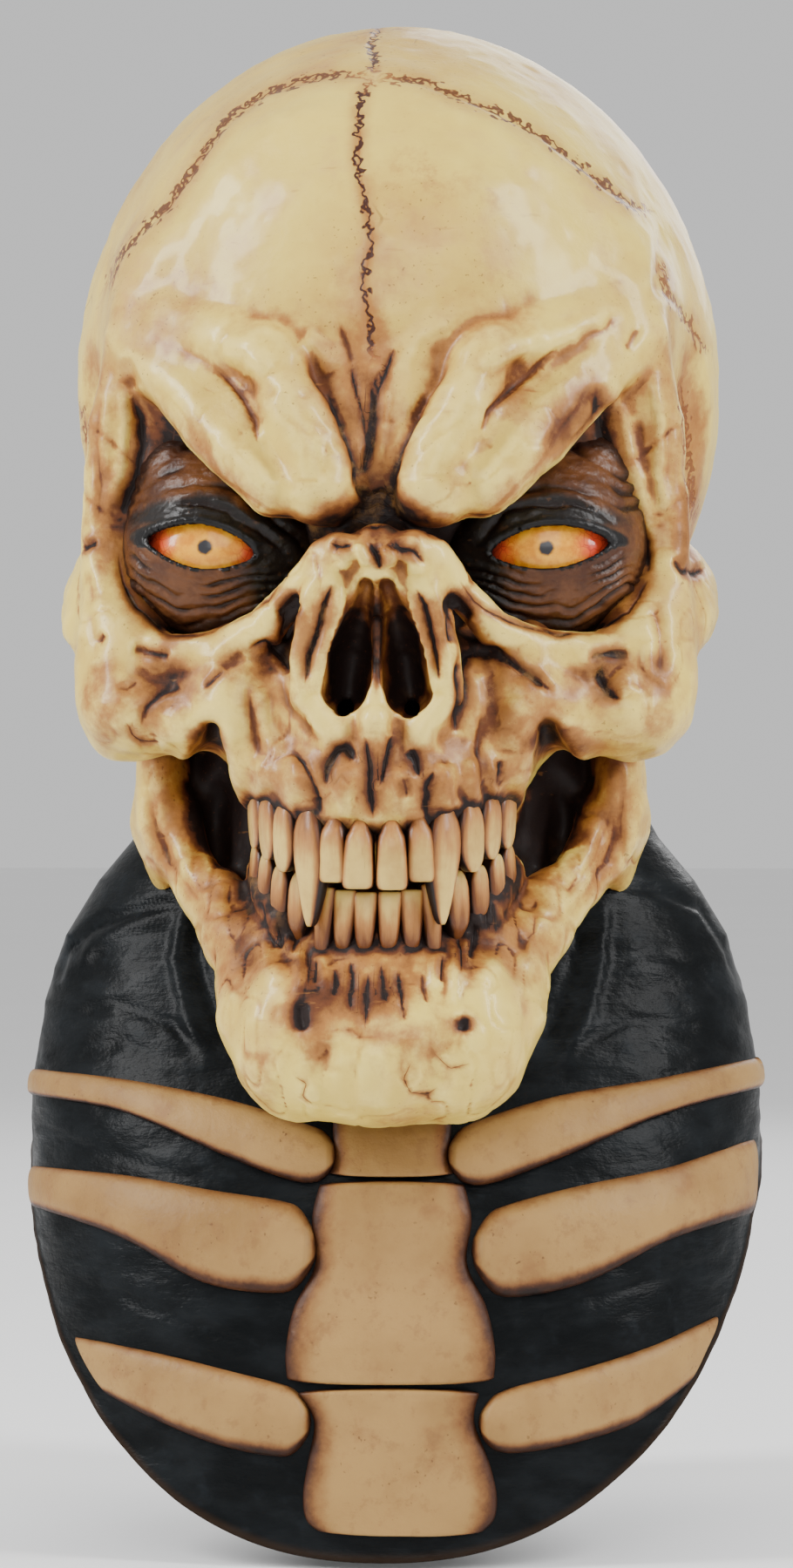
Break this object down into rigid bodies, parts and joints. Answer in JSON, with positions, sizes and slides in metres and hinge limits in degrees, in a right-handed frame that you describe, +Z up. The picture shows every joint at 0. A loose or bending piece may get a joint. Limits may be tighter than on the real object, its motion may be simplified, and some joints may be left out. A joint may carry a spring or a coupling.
{
  "type": "skull mask",
  "caption": "Hollow over-the-head latex skull mask with bared teeth, angry brows, painted eyes and a black neck and chest bib with ribs in relief.",
  "frame": {"origin": "inside of the crown, where the mask rests on the wearer's head", "axes": "+Z up, the face looks along -Y, the wearer's left is +X"},
  "size_m": [0.2468, 0.267, 0.4983],
  "materials": {
    "bone_latex": "painted bone with a brown wash and a satin varnish",
    "black_latex": "black, glossy and creased",
    "dark_flesh": "dark brown and black paint, wrinkled, satin",
    "eye_paint": "amber paint with red corners under a gloss varnish",
    "tooth_enamel": "ivory paint, stained brown at the roots, satin",
    "rib_bone": "tan paint with dark edges, satin"
  },
  "bodies": {
    "root": {"head_skin": "bone_latex", "neck_bib": "black_latex", "eye_left": "eye_paint", "eyelids_left": "dark_flesh", "upper_central_incisor_left": "tooth_enamel", "upper_lateral_incisor_left": "tooth_enamel", "upper_canine_left": "tooth_enamel", "upper_first_premolar_left": "tooth_enamel", "upper_second_premolar_left": "tooth_enamel", "upper_molar_left": "tooth_enamel", "lower_central_incisor_left": "tooth_enamel", "lower_lateral_incisor_left": "tooth_enamel", "lower_canine_left": "tooth_enamel", "lower_first_premolar_left": "tooth_enamel", "lower_second_premolar_left": "tooth_enamel", "lower_first_molar_left": "tooth_enamel", "lower_second_molar_left": "tooth_enamel", "rib_left_1": "rib_bone", "rib_left_2": "rib_bone", "rib_left_3": "rib_bone", "eye_right": "eye_paint", "eyelids_right": "dark_flesh", "upper_central_incisor_right": "tooth_enamel", "upper_lateral_incisor_right": "tooth_enamel", "upper_canine_right": "tooth_enamel", "upper_first_premolar_right": "tooth_enamel", "upper_second_premolar_right": "tooth_enamel", "upper_molar_right": "tooth_enamel", "lower_central_incisor_right": "tooth_enamel", "lower_lateral_incisor_right": "tooth_enamel", "lower_canine_right": "tooth_enamel", "lower_first_premolar_right": "tooth_enamel", "lower_second_premolar_right": "tooth_enamel", "lower_first_molar_right": "tooth_enamel", "lower_second_molar_right": "tooth_enamel", "rib_right_1": "rib_bone", "rib_right_2": "rib_bone", "rib_right_3": "rib_bone", "breastbone_top": "rib_bone", "breastbone_middle": "rib_bone", "breastbone_lower": "rib_bone"}
  },
  "joints": []
}
